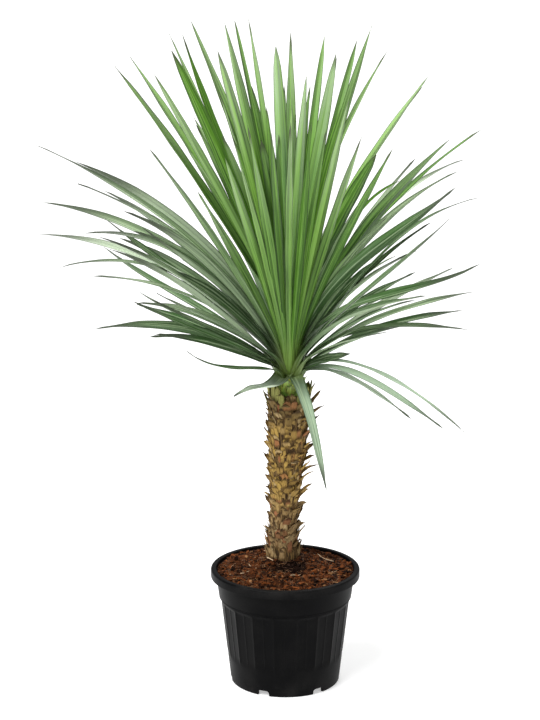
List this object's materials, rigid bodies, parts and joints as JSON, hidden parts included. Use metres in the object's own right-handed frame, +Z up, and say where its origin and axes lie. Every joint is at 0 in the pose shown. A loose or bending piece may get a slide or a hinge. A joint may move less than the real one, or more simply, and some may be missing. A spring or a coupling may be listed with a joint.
{
  "type": "potted cordyline",
  "caption": "House plant with a crown of long sword-shaped green leaves on a stubbly trunk, standing in bark potting mix in a round black plastic nursery pot with a fluted wall.",
  "frame": {"origin": "middle of the pot's underside, on the flat pad that rests on the ground", "axes": "+Z up along the trunk, -Y towards the viewer in the picture, +X to the viewer's right"},
  "size_m": [0.876, 0.92, 1.322],
  "materials": {
    "pot_plastic": "satin",
    "potting_mix": "matte",
    "trunk": "matte",
    "old_leaf": "satin",
    "mature_leaf": "satin",
    "young_leaf": "satin"
  },
  "bodies": {
    "root": {"nursery_pot": "pot_plastic", "potting_mix": "potting_mix", "trunk": "trunk", "old_leaves": "old_leaf", "mature_leaves": "mature_leaf", "young_leaves": "young_leaf"}
  },
  "joints": []
}
